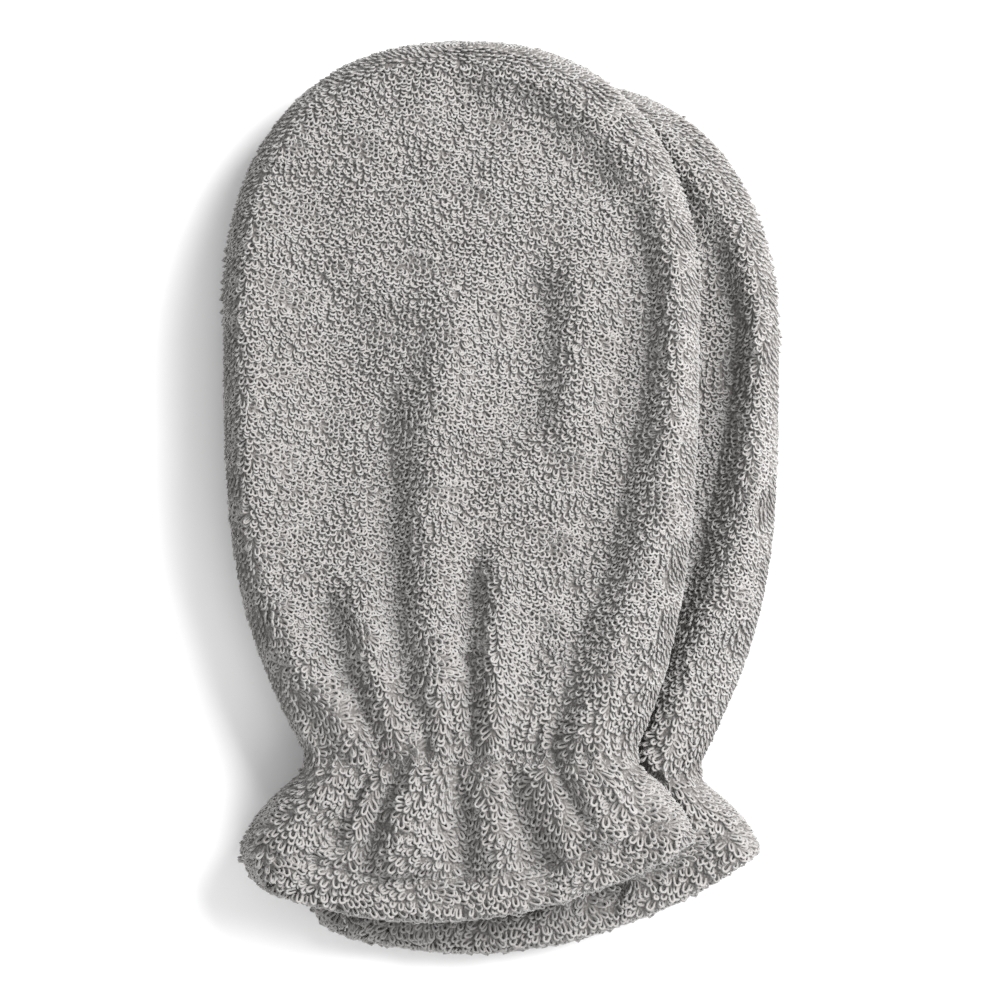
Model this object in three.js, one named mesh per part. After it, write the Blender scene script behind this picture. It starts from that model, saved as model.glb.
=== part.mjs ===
// A pair of terry wash mitts, laid flat one on the other with the fingertips towards +Y.
// Each mitt has a palm and a back panel of towelling. They are seamed round the sides and the
// fingertips with the allowances turned in, gathered at the wrist by elastic, and end in a flared
// cuff with a turned hem. Millimetres, +Z up, origin under the middle of the pair.
import * as THREE from 'three';
import { mergeVertices } from 'three/addons/utils/BufferGeometryUtils.js';

// The outline of one mitt.
const bodyWidth = 138;
const handLength = 205;
const widestAboveWrist = 123;
const fingertipFullness = 2.25;
const wristWidth = 93;
const wristTaper = 3.2;
const cuffWidth = 129;
const cuffLength = 47;
const cuffSideLength = 30;

// The towelling, its seams and its hem.
const wall = 3.5;
const handSpace = 8;
const seamAllowance = 8;
const seamShoulder = 1.2;
const edgeThickness = 5;
const hemWidth = 12;
const hemEdgeRound = 2.5;
const hemCreaseDepth = 1.6;
const hemCreaseWidth = 4;

// The elastic, and the groove that it gathers at the wrist.
const elasticWidth = 6;
const elasticThickness = 1;
const wristGrooveDepth = 2;

// The threads.
const threadThickness = 0.6;
const zigzagWidth = 4;
const zigzagPitch = 3.6;
const overlockWidth = 1.2;
const overlockThickness = 1.8;

// How the second mitt lies on the first.
const shiftLeft = 24;
const shiftUp = 9.5;
const edgeDroop = 12;
const droopReach = 26;
const droopStart = 2;

// Clearances between neighbouring pieces.
const pieceGap = 0.3;
const threadGap = 0.5;
const layGap = 0.8;

// Grid fineness.
const bodyRows = 8;
const fingertipRows = 7;
const cuffRows = 3;

const halfBody = bodyWidth / 2;
const halfWrist = wristWidth / 2;
const halfCuff = cuffWidth / 2;
const halfThickness = handSpace / 2 + wall;
const mittThickness = 2 * halfThickness;
const fingertipLength = handLength - widestAboveWrist;
const fanY = widestAboveWrist + fingertipLength / 2;
const lowerWristY = (cuffLength - handLength - shiftUp) / 2;
const seamHeight = halfThickness;
const upperLift = mittThickness + layGap;
const groove = elasticWidth;
const grooveFloor = elasticWidth / 2;

const towelling = new THREE.MeshStandardMaterial({ color: 0xa9a6a4, roughness: 0.95, metalness: 0 });
const elasticWeb = new THREE.MeshStandardMaterial({ color: 0xd8d5d0, roughness: 0.8, metalness: 0 });
const sewingThread = new THREE.MeshStandardMaterial({ color: 0x9d9a97, roughness: 0.7, metalness: 0 });

// Half the mitt's width above the wrist groove, up to the fingertips.
function bodyEdge(y) {
  if (y > widestAboveWrist) {
    const rise = Math.min(1, (y - widestAboveWrist) / fingertipLength);
    return halfBody * (1 - rise ** fingertipFullness) ** (1 / fingertipFullness);
  }
  const fall = (widestAboveWrist - y) / (widestAboveWrist - grooveFloor);
  return halfBody - (halfBody - halfWrist) * fall ** wristTaper;
}

// Half the cuff's width at a depth below the wrist line, which flares and then runs straight.
function cuffEdge(depth) {
  const rest = 1 - (depth - grooveFloor) / (cuffSideLength - grooveFloor);
  return halfWrist + (halfCuff - halfWrist) * (1 - rest * rest);
}

// The hem is an arc that hangs lowest in the middle of the cuff.
function hemY(x) {
  return -cuffLength + (cuffLength - cuffSideLength) * (x / halfCuff) ** 2;
}

// A point of the fingertip curve, from 0 at the fan's first row to 1 at the very tip.
function fingertipPoint(share) {
  const start = Math.asin(((fanY - widestAboveWrist) / fingertipLength) ** (fingertipFullness / 2));
  const angle = start + (Math.PI / 2 - start) * share;
  const power = 2 / fingertipFullness;
  const x = halfBody * Math.max(0, Math.cos(angle)) ** power;
  return [share === 1 ? 0 : x, widestAboveWrist + fingertipLength * Math.sin(angle) ** power];
}

// Every row of the panel's grid. A row knows its edge point, where it meets the middle line, and
// how high a point at x lies on it.
function panelRows() {
  const rows = [];
  const addCuffRow = (aboveHem, share, depth) => {
    const heightAt = (x) => (hemY(x) + aboveHem) * (1 - share) - groove * share;
    const edgeDepth = (cuffSideLength - aboveHem) * (1 - share) + groove * share;
    rows.push({ x: cuffEdge(edgeDepth), heightAt, depth });
  };
  const addBodyRow = (y, depth) => {
    const x = y < 0 ? cuffEdge(-y) : bodyEdge(y);
    rows.push({ x, heightAt: () => y, depth });
  };
  addCuffRow(0, 0, hemEdgeRound);
  addCuffRow(hemEdgeRound, 0, 0);
  addCuffRow(hemWidth - hemCreaseWidth / 2, 0, 0);
  addCuffRow(hemWidth, 0, hemCreaseDepth);
  const aboveCrease = hemWidth + hemCreaseWidth / 2;
  for (let i = 0; i < cuffRows; i += 1) addCuffRow(aboveCrease, i / cuffRows, 0);
  addBodyRow(-groove, 0);
  addBodyRow(-grooveFloor, wristGrooveDepth);
  addBodyRow(grooveFloor, wristGrooveDepth);
  for (let i = 0; i <= bodyRows; i += 1) addBodyRow(groove + (fanY - groove) * (i / bodyRows), 0);
  for (let i = 1; i <= fingertipRows; i += 1) {
    const [x, y] = fingertipPoint(i / fingertipRows);
    rows.push({ x, y, fan: true, depth: 0 });
  }
  return rows;
}

// The plan position on a row at a distance in from the seam, or at the middle line.
function alongRow(row, inset, side) {
  if (row.fan) {
    const length = Math.hypot(row.x, row.y - fanY);
    const share = Math.min(1, inset / length);
    return [side * row.x * (1 - share), row.y + (fanY - row.y) * share];
  }
  const x = Math.max(0, row.x - inset);
  return [side * x, row.heightAt(x)];
}

// Insets of the grid's columns: close together on the rolled edge, then wide to the middle line.
function rowInsets(row) {
  const rolled = [0, 0.15 * seamAllowance, 0.45 * seamAllowance, seamAllowance];
  const inner = seamAllowance + seamShoulder;
  const whole = row.fan ? Math.hypot(row.x, row.y - fanY) : row.x;
  const shares = [0, 0.12, 0.26, 0.52, 1];
  return rolled.concat(shares.map((share) => inner + (whole - inner) * share));
}

// The columns of a row from the left seam to the right one, with the middle line once.
function rowColumns(row) {
  const insets = rowInsets(row);
  const left = insets.map((inset) => ({ inset, side: -1 }));
  const right = insets.slice(0, -1).reverse().map((inset) => ({ inset, side: 1 }));
  return left.concat(right);
}

// How far the outer face stands from the seam plane: rolled at the edge, dented by its stitching.
function outerReach(inset, depth) {
  const roll = Math.min(1, inset / seamAllowance);
  const edge = edgeThickness / 2 / halfThickness;
  const shape = edge + (1 - edge) * Math.sqrt(1 - (1 - roll) ** 2);
  return (halfThickness - depth) * shape;
}

// How far the inner face stands from the seam plane: the turned-in allowance fills the edge.
function innerReach(inset) {
  return inset > seamAllowance ? handSpace / 2 : pieceGap / 2;
}

// The closed outline of one mitt in plan, for measuring how far a point lies outside it.
function outlineLoop() {
  const edges = panelRows().map((row) => alongRow(row, 0, 1));
  const mirrored = edges.map(([x, y]) => [-x, y]).reverse();
  return edges.concat(mirrored);
}

const outline = outlineLoop();

// Signed distance from the outline, positive outside it.
function distanceOutside(x, y) {
  let nearest = Infinity;
  let inside = false;
  for (let i = 0; i < outline.length; i += 1) {
    const [ax, ay] = outline[i];
    const [bx, by] = outline[(i + 1) % outline.length];
    const length2 = (bx - ax) ** 2 + (by - ay) ** 2;
    const along = length2 > 0 ? ((x - ax) * (bx - ax) + (y - ay) * (by - ay)) / length2 : 0;
    const t = Math.min(1, Math.max(0, along));
    nearest = Math.min(nearest, Math.hypot(x - ax - t * (bx - ax), y - ay - t * (by - ay)));
    if (ay > y !== by > y && x < ax + ((y - ay) * (bx - ax)) / (by - ay)) inside = !inside;
  }
  return inside ? -nearest : nearest;
}

// A mitt turns a plan point and a signed reach from its seam plane into a place in the pair.
const lowerMitt = {
  name: 'lower',
  place: (x, y, reach) => [x + shiftLeft / 2, y + lowerWristY, seamHeight + reach],
};

// The upper mitt droops where it hangs over the lower one's edge.
function droop(x, y) {
  const over = distanceOutside(x - shiftLeft, y + shiftUp) - droopStart;
  const share = Math.min(1, Math.max(0, over / droopReach));
  return edgeDroop * Math.sin((share * Math.PI) / 2) ** 2;
}

// The droop is worked out at the corners of the panels' own triangles, so that a thread or an
// elastic between those corners stays parallel to the cloth.
const droopTriangles = droopGrid();

function droopGrid() {
  const grid = panelRows().map((row) => rowColumns(row).map(({ inset, side }) => {
    const [x, y] = alongRow(row, inset, side);
    return [x, y, droop(x, y)];
  }));
  const triangles = [];
  for (let r = 0; r + 1 < grid.length; r += 1) {
    for (let i = 0; i + 1 < grid[r].length; i += 1) {
      triangles.push([grid[r][i], grid[r][i + 1], grid[r + 1][i + 1]]);
      triangles.push([grid[r][i], grid[r + 1][i + 1], grid[r + 1][i]]);
    }
  }
  return triangles;
}

// The droop at a plan point, straight across the triangle that holds it.
function droopBetween(x, y) {
  let best = { margin: -Infinity, value: 0 };
  droopTriangles.forEach(([a, b, c]) => {
    const area = (b[0] - a[0]) * (c[1] - a[1]) - (c[0] - a[0]) * (b[1] - a[1]);
    if (Math.abs(area) < 1e-6) return;
    const u = ((b[0] - x) * (c[1] - y) - (c[0] - x) * (b[1] - y)) / area;
    const v = ((c[0] - x) * (a[1] - y) - (a[0] - x) * (c[1] - y)) / area;
    const margin = Math.min(u, v, 1 - u - v);
    if (margin > best.margin) best = { margin, value: u * a[2] + v * b[2] + (1 - u - v) * c[2] };
  });
  return best.value;
}

const upperMitt = {
  name: 'upper',
  place: (x, y, reach) => {
    const height = seamHeight + upperLift + reach - droopBetween(x, y);
    return [x - shiftLeft / 2, y + lowerWristY + shiftUp, height];
  },
};

// A closed solid from rows of rings. A ring is an outer run of points and an inner run back, so
// its end is closed by a strip between the two runs.
function solidFromRings(rings, endsClosed) {
  const positions = [];
  const corner = (point) => positions.push(...point);
  const quad = (a, b, c, d) => [a, b, c, a, c, d].forEach(corner);
  for (let r = 0; r + 1 < rings.length; r += 1) {
    const [ring, next] = [rings[r], rings[r + 1]];
    for (let i = 0; i < ring.length; i += 1) {
      const j = (i + 1) % ring.length;
      if (i < ring.length / 2) quad(ring[i], ring[j], next[j], next[i]);
      else quad(ring[j], next[j], next[i], ring[i]);
    }
  }
  const closeEnd = (ring, flipped) => {
    const last = ring.length - 1;
    for (let i = 0; i + 1 < ring.length / 2; i += 1) {
      const strip = [ring[i], ring[last - i], ring[last - i - 1], ring[i + 1]];
      quad(...(flipped ? strip.reverse() : strip));
    }
  };
  closeEnd(rings[0], false);
  if (endsClosed) closeEnd(rings[rings.length - 1], true);
  return facingOut(weld(positions));
}

// Shared corners become one vertex, and triangles that a pole squeezes to nothing are dropped.
function weld(positions) {
  const loose = new THREE.BufferGeometry();
  loose.setAttribute('position', new THREE.Float32BufferAttribute(positions, 3));
  const merged = mergeVertices(loose, 1e-3);
  const index = merged.getIndex().array;
  const kept = [];
  for (let i = 0; i < index.length; i += 3) {
    const [a, b, c] = [index[i], index[i + 1], index[i + 2]];
    if (a !== b && b !== c && c !== a) kept.push(a, b, c);
  }
  merged.setIndex(kept);
  return merged;
}

// Turns every triangle round if the solid's volume comes out negative.
function facingOut(geometry) {
  const index = geometry.getIndex().array;
  const place = geometry.getAttribute('position');
  const corners = [new THREE.Vector3(), new THREE.Vector3(), new THREE.Vector3()];
  let volume = 0;
  for (let i = 0; i < index.length; i += 3) {
    corners.forEach((corner, k) => corner.fromBufferAttribute(place, index[i + k]));
    volume += corners[0].dot(corners[1].clone().cross(corners[2]));
  }
  if (volume < 0) {
    for (let i = 0; i < index.length; i += 3) {
      [index[i], index[i + 1]] = [index[i + 1], index[i]];
    }
  }
  geometry.computeVertexNormals();
  return geometry;
}

function makeMesh(mitt, piece, rings, material, endsClosed = true) {
  const mesh = new THREE.Mesh(solidFromRings(rings, endsClosed), material);
  mesh.name = `${mitt.name}_${piece}`;
  return mesh;
}

// A panel of towelling: one layer over the hand, thick at the seam where its allowance turns in.
function panel(mitt, piece, face) {
  const rings = panelRows().map((row) => {
    const layer = (reachAt) => rowColumns(row).map(({ inset, side }) => {
      const [x, y] = alongRow(row, inset, side);
      return mitt.place(x, y, face * reachAt(inset));
    });
    const outer = layer((inset) => outerReach(inset, row.depth));
    return outer.concat(layer(innerReach).reverse());
  });
  return makeMesh(mitt, `${piece}_panel`, rings, towelling, false);
}

// Rings of a flat strip that runs across the mitt along a path, between two reaches.
function stripRings(mitt, path, width, face, near, far) {
  return path.map(([x, y]) => {
    const corners = [[-1, far], [1, far], [1, near], [-1, near]];
    return corners.map(([end, reach]) => mitt.place(x, y + (end * width) / 2, face * reach));
  });
}

// The points of a row whose columns lie at least some way in from the seam.
function rowPath(row, leastInset) {
  const inner = rowColumns(row).filter(({ inset }) => inset > leastInset);
  const ends = [-1, 1].map((side) => ({ inset: leastInset, side }));
  const columns = [ends[0], ...inner, ends[1]];
  return columns.map(({ inset, side }) => alongRow(row, inset, side));
}

// The elastic strip is sewn to the inside of its panel, between the two seam allowances.
function wristElastic(mitt, piece, face) {
  const wristRow = { x: halfWrist, heightAt: () => 0 };
  const path = rowPath(wristRow, seamAllowance + seamShoulder + pieceGap);
  const far = handSpace / 2 - threadGap;
  const rings = stripRings(mitt, path, elasticWidth, face, far - elasticThickness, far);
  return makeMesh(mitt, `${piece}_wrist_elastic`, rings, elasticWeb);
}

// The zigzag thread that holds the elastic lies on the floor of the wrist groove.
function elasticStitching(mitt, piece, face) {
  const halfLength = halfWrist - seamAllowance;
  const count = 4 * Math.round(halfLength / zigzagPitch);
  const swing = (Math.min(zigzagWidth, 2 * grooveFloor) - 2 * threadThickness) / 2;
  const path = [];
  for (let i = 0; i <= count; i += 1) {
    path.push([halfLength * ((2 * i) / count - 1), swing * (i % 2 === 0 ? 1 : -1)]);
  }
  const near = halfThickness - wristGrooveDepth + threadGap;
  const rings = stripRings(mitt, path, 2 * threadThickness, face, near, near + threadThickness);
  return makeMesh(mitt, `${piece}_elastic_stitching`, rings, sewingThread);
}

// The straight thread that holds the turned hem lies at the bottom of the hem's crease.
function hemStitching(mitt, piece, face) {
  const crease = panelRows().find((row) => row.depth === hemCreaseDepth);
  const path = rowPath(crease, seamAllowance);
  const rise = (hemCreaseDepth * threadThickness) / hemCreaseWidth;
  const near = halfThickness - hemCreaseDepth + rise + threadGap;
  const rings = stripRings(mitt, path, threadThickness, face, near, near + threadThickness);
  return makeMesh(mitt, `${piece}_hem_stitching`, rings, sewingThread);
}

// The overlock thread binds the two turned-in allowances all the way round inside the mitt.
function sideSeamStitching(mitt) {
  const near = seamAllowance + 0.75 * seamShoulder;
  const rows = panelRows();
  const ringAt = (row, side) => [[near, 1], [near + overlockWidth, 1], [near + overlockWidth, -1],
    [near, -1]].map(([inset, face]) => {
    const [x, y] = alongRow(row, inset, side);
    return mitt.place(x, y, (face * overlockThickness) / 2);
  });
  const left = rows.map((row) => ringAt(row, -1));
  const right = rows.slice(0, -1).reverse().map((row) => ringAt(row, 1));
  return makeMesh(mitt, 'side_seam_stitching', left.concat(right), sewingThread);
}

function buildMitt(mitt) {
  const group = new THREE.Group();
  [['palm', 1], ['back', -1]].forEach(([piece, face]) => {
    group.add(panel(mitt, piece, face));
    group.add(wristElastic(mitt, piece, face));
    group.add(elasticStitching(mitt, piece, face));
    group.add(hemStitching(mitt, piece, face));
  });
  group.add(sideSeamStitching(mitt));
  return group;
}

const pair = new THREE.Group();
pair.add(buildMitt(lowerMitt));
pair.add(buildMitt(upperMitt));

export default pair;
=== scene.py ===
import math

import bmesh
import bpy
import numpy as np
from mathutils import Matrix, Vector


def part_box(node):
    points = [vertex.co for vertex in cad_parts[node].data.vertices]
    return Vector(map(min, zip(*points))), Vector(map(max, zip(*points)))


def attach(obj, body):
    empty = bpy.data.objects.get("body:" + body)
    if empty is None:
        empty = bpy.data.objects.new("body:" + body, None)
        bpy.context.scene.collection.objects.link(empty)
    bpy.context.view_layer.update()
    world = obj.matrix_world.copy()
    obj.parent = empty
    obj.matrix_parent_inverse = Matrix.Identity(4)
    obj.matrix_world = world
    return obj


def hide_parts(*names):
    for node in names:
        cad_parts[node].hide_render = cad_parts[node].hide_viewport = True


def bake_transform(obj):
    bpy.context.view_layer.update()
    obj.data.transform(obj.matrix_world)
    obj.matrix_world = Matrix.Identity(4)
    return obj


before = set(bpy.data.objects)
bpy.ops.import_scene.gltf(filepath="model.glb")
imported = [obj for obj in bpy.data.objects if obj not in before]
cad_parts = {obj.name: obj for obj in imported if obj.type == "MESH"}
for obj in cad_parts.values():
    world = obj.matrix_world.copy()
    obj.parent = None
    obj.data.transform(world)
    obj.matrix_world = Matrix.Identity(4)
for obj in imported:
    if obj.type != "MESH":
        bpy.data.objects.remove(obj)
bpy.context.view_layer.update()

# --- The camera, the light and the floor ------------------------------------------------------
# The pair lies on a plain white surface and is seen from straight above, fingertips upwards.
# A wide soft lamp stands to the upper right and a weak one below, so shadows fall to the left.
MM = 0.001
VIEW_WIDTH = 286 * MM
LENS, SENSOR = 135.0, 36.0
VIEW_HEIGHT = VIEW_WIDTH * LENS / SENSOR
VIEW_MIDDLE = (-0.6 * MM, -0.9 * MM)
MID_HEIGHT = 15 * MM
SKY_STRENGTH = 0.66
FLOOR_EDGE = 3.0      # metres from the middle

camera = bpy.data.objects.new("camera", bpy.data.cameras.new("camera"))
camera.data.lens = LENS
camera.data.sensor_width = SENSOR
camera.data.clip_end = 10
camera.location = (*VIEW_MIDDLE, MID_HEIGHT + VIEW_HEIGHT)
bpy.context.collection.objects.link(camera)
bpy.context.scene.camera = camera


def soft_lamp(name, place, size, watts):
    """A square area lamp at a place, turned to face the middle of the pair."""
    lamp = bpy.data.lights.new(name, "AREA")
    lamp.size = size
    lamp.energy = watts
    holder = bpy.data.objects.new(name, lamp)
    holder.location = place
    x, y, z = place
    holder.rotation_euler = (math.atan2(math.hypot(x, y), z), 0, math.atan2(y, x) + math.pi / 2)
    bpy.context.collection.objects.link(holder)


soft_lamp("window", (0.80, 0.48, 0.80), 0.8, 32.0)
soft_lamp("front", (0.30, -0.78, 1.00), 0.8, 5.0)

sky = bpy.data.worlds.new("studio")
bpy.context.scene.world = sky
sky.use_nodes = True
sky.node_tree.nodes["Background"].inputs["Color"].default_value = (1, 1, 1, 1)
sky.node_tree.nodes["Background"].inputs["Strength"].default_value = SKY_STRENGTH
bpy.context.scene.view_settings.view_transform = "Standard"

floor_mesh = bpy.data.meshes.new("floor")
floor_corners = [(FLOOR_EDGE * x, FLOOR_EDGE * y, 0) for x, y in ((-1, -1), (1, -1), (1, 1), (-1, 1))]
floor_mesh.from_pydata(floor_corners, [], [(0, 1, 2, 3)])
floor = bpy.data.objects.new("floor", floor_mesh)
bpy.context.collection.objects.link(floor)
paper = bpy.data.materials.new("white_paper")
paper.use_nodes = True
paper.node_tree.nodes["Principled BSDF"].inputs["Base Color"].default_value = (0.95, 0.95, 0.95, 1)
paper.node_tree.nodes["Principled BSDF"].inputs["Roughness"].default_value = 0.9
floor_mesh.materials.append(paper)

# --- The panels' towelling ground ---------------------------------------------------------------
# Each mitt is two panels of cotton towelling, cut alike. They are seamed round the sides and the
# fingertips and turned right side out, so that the allowances fill the edge. Elastic draws the
# wrist in, and the cuff ends in a hem turned under and stitched.
PILE = 1.6            # how far the loops stand out of the ground, mm
GROUND = 1.3          # thickness of the woven ground
ALLOWANCE = 8.0       # width of the turned-in seam allowance
EDGE_REACH = 1.1      # the ground's distance from the seam plane at the seam
SEAM_GAP, MOUTH_GAP = 0.03, 0.15    # a panel's least distance from that plane, sewn and free
HEM = 12.0            # the turned hem's width
HEM_ROUND = 3.6       # over which the hem's fold rounds off
TIP_FULLNESS = 2.4    # the fingertip curve's exponent, 2 is an ellipse
WRIST_TAPER = 3.2
WIDEST = 123.0        # height of the widest place over the wrist line


def box_mm(node):
    """The low and the high corner of a node's box, in mm."""
    low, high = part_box(node)
    return np.array(low) / MM, np.array(high) / MM


def mitt_facts(name):
    """Where one mitt lies, taken from the boxes of its own nodes."""
    low, high = box_mm(f"{name}_palm_panel")
    band_low, band_high = box_mm(f"{name}_palm_wrist_elastic")
    wrist_y = (band_low[1] + band_high[1]) / 2
    return {"name": name, "x": (low[0] + high[0]) / 2, "y": wrist_y, "top": high[2],
            "half": (high[0] - low[0]) / 2, "length": high[1] - wrist_y,
            "cuff": wrist_y - low[1]}


MITTS = {name: mitt_facts(name) for name in ("lower", "upper")}
HALF_THICK = MITTS["lower"]["top"] / 2
LIFT = MITTS["upper"]["top"] - MITTS["lower"]["top"]
SHIFT = (MITTS["upper"]["x"] - MITTS["lower"]["x"], MITTS["upper"]["y"] - MITTS["lower"]["y"])
HALF_BODY = MITTS["lower"]["half"] - PILE
LENGTH = MITTS["lower"]["length"] - PILE
HALF_WRIST = 49.0 - PILE
HALF_CUFF = 66.5 - PILE
GROOVE = 3.0          # half the width of the flat wrist band
DROOP = 12.0          # how far the upper mitt's free edge sinks
DROOP_REACH = 26.0
DROOP_START = 2.0
PALM_HOLDS = 0.9      # share of the droop that the palm's fullness makes up for
CORNER_START = 22.0   # below the wrist line the cuff's side turns in to its rounded corner
CORNER_TURN = 0.035
FLARE_LENGTH = 27.0
SEAM_FOOT = -36       # where the side seams end, at the cuff's corners
HEM_RISE, HEM_LOWEST, HEM_SPAN = 17.0, -7.0, 64.5   # the hem rises so far at a span from its middle
CUFF_TILT = {"lower": 0.1, "upper": 0.02}
CUFF_PUSH = {"lower": -2.0, "upper": 0.0}
WRIST_PUSH = {"lower": -2.0, "upper": 3.0}
PUSH_WIDTH, CUFF_RUN = 36.0, 40     # mm along the mitt over which those two pushes fade
TILT_TOP, TILT_RUN = 110, 90        # the tilt fades upwards, and ends here


def hem_line(x):
    """The hem is an arc, lowest a little left of the middle."""
    return -(MITTS["lower"]["cuff"] - PILE) + HEM_RISE * ((x - HEM_LOWEST) / HEM_SPAN) ** 2


def half_width(y):
    """Half the ground's width: a flare below the wrist, a power curve up to the widest place, and
    a superellipse over the fingertips."""
    flare = np.clip((-y - GROOVE) / FLARE_LENGTH, 0, 1)
    below = HALF_WRIST + (HALF_CUFF - HALF_WRIST) * (1 - (1 - flare) ** 2)
    below -= CORNER_TURN * np.maximum(-y - CORNER_START, 0) ** 2
    fall = np.clip((WIDEST - y) / (WIDEST - GROOVE), 0, 1)
    rise = np.clip((y - WIDEST) / (LENGTH - WIDEST), 0, 1)
    above = HALF_BODY * (1 - rise ** TIP_FULLNESS) ** (1 / TIP_FULLNESS)
    above -= (HALF_BODY - HALF_WRIST) * fall ** WRIST_TAPER
    return np.where(y < 0, below, above)


def tip_curve(angle):
    """The fingertips are a quarter of a superellipse over the widest place."""
    power = 2 / TIP_FULLNESS
    x = HALF_BODY * np.clip(np.cos(angle), 0, 1) ** power
    y = WIDEST + (LENGTH - WIDEST) * np.clip(np.sin(angle), 0, 1) ** power
    return x, y


def seam_line():
    """The right-hand seam from the hem to the fingertips, and the same mirrored down the left."""
    side_y = np.linspace(SEAM_FOOT, WIDEST, 110)
    tip_x, tip_y = tip_curve(np.linspace(0, math.pi / 2, 60)[1:])
    x = np.concatenate([half_width(side_y), tip_x])
    y = np.concatenate([side_y, tip_y])
    return np.concatenate([x, -x[-2::-1]]), np.concatenate([y, y[-2::-1]])


def nearest_on_line(x, y, line_x, line_y):
    """Distance from each point to a line of short straight pieces, and the share of the way along."""
    shape = x.shape
    px, py = x.ravel(), y.ravel()
    best = np.full(px.shape, np.inf)
    along = np.zeros(px.shape)
    count = len(line_x) - 1
    for i in range(count):
        ax, ay = line_x[i], line_y[i]
        dx, dy = line_x[i + 1] - ax, line_y[i + 1] - ay
        t = np.clip(((px - ax) * dx + (py - ay) * dy) / max(dx * dx + dy * dy, 1e-12), 0, 1)
        gap = np.hypot(px - ax - t * dx, py - ay - t * dy)
        closer = gap < best
        best = np.where(closer, gap, best)
        along = np.where(closer, (i + t) / count, along)
    return best.reshape(shape), along.reshape(shape)


SEAM_X, SEAM_Y = seam_line()


def edge_distance(x, y):
    """Distance of each plan point from the nearest place on the seam."""
    return nearest_on_line(x, y, SEAM_X, SEAM_Y)[0]


def outside_lower(x, y):
    """Signed distance from the lower mitt's outline, in its own plan, positive outside it. A point
    is inside when a line from it crosses the outline an odd number of times."""
    hem_x = np.linspace(-HALF_CUFF, HALF_CUFF, 30)
    loop_x = np.concatenate([SEAM_X[6:-6], hem_x])
    loop_y = np.concatenate([SEAM_Y[6:-6], hem_line(hem_x)])
    loop_x = np.append(loop_x, loop_x[0])
    loop_y = np.append(loop_y, loop_y[0])
    gap, _ = nearest_on_line(x, y, loop_x, loop_y)
    inside = np.zeros(x.shape, bool)
    for i in range(len(loop_x) - 1):
        ax, ay, bx, by = loop_x[i], loop_y[i], loop_x[i + 1], loop_y[i + 1]
        crosses = (ay > y) != (by > y)
        slope = (bx - ax) / (by - ay) if by != ay else 0.0
        inside ^= crosses & (x < ax + (y - ay) * slope)
    return np.where(inside, -gap, gap)


def outside_upper(x, y):
    """Signed distance from the upper mitt's outline for points of the lower mitt's plan."""
    return outside_lower(x - SHIFT[0], y - SHIFT[1])


def sunk(mitt, x, y):
    """How far the seam sinks: the upper mitt droops, by a squared sine, past the lower one."""
    if mitt == "lower":
        return np.zeros(x.shape)
    over = outside_lower(x + SHIFT[0], y + SHIFT[1]) - PILE - DROOP_START
    return DROOP * np.sin(np.clip(over / DROOP_REACH, 0, 1) * math.pi / 2) ** 2


def seam_height(mitt, x, y):
    """Height of the seam plane: half the thickness, and the lift less the droop on the upper mitt."""
    return HALF_THICK + (LIFT if mitt == "upper" else 0) - sunk(mitt, x, y)


def smooth_path(points, count=16):
    """A smooth line through a few points: each coordinate is a Catmull-Rom curve of the share."""
    p = np.array(points, float)
    p = np.vstack([2 * p[0] - p[1], p, 2 * p[-1] - p[-2]])
    share = np.linspace(0, len(points) - 1 - 1e-9, count)
    i = share.astype(int)
    t = (share - i)[:, None]
    a, b, c, d = p[i], p[i + 1], p[i + 2], p[i + 3]
    curve = 0.5 * (2 * b + (c - a) * t + (2 * a - 5 * b + 4 * c - d) * t ** 2
                   + (3 * b - a - 3 * c + d) * t ** 3)
    return curve[:, 0], curve[:, 1]


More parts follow.
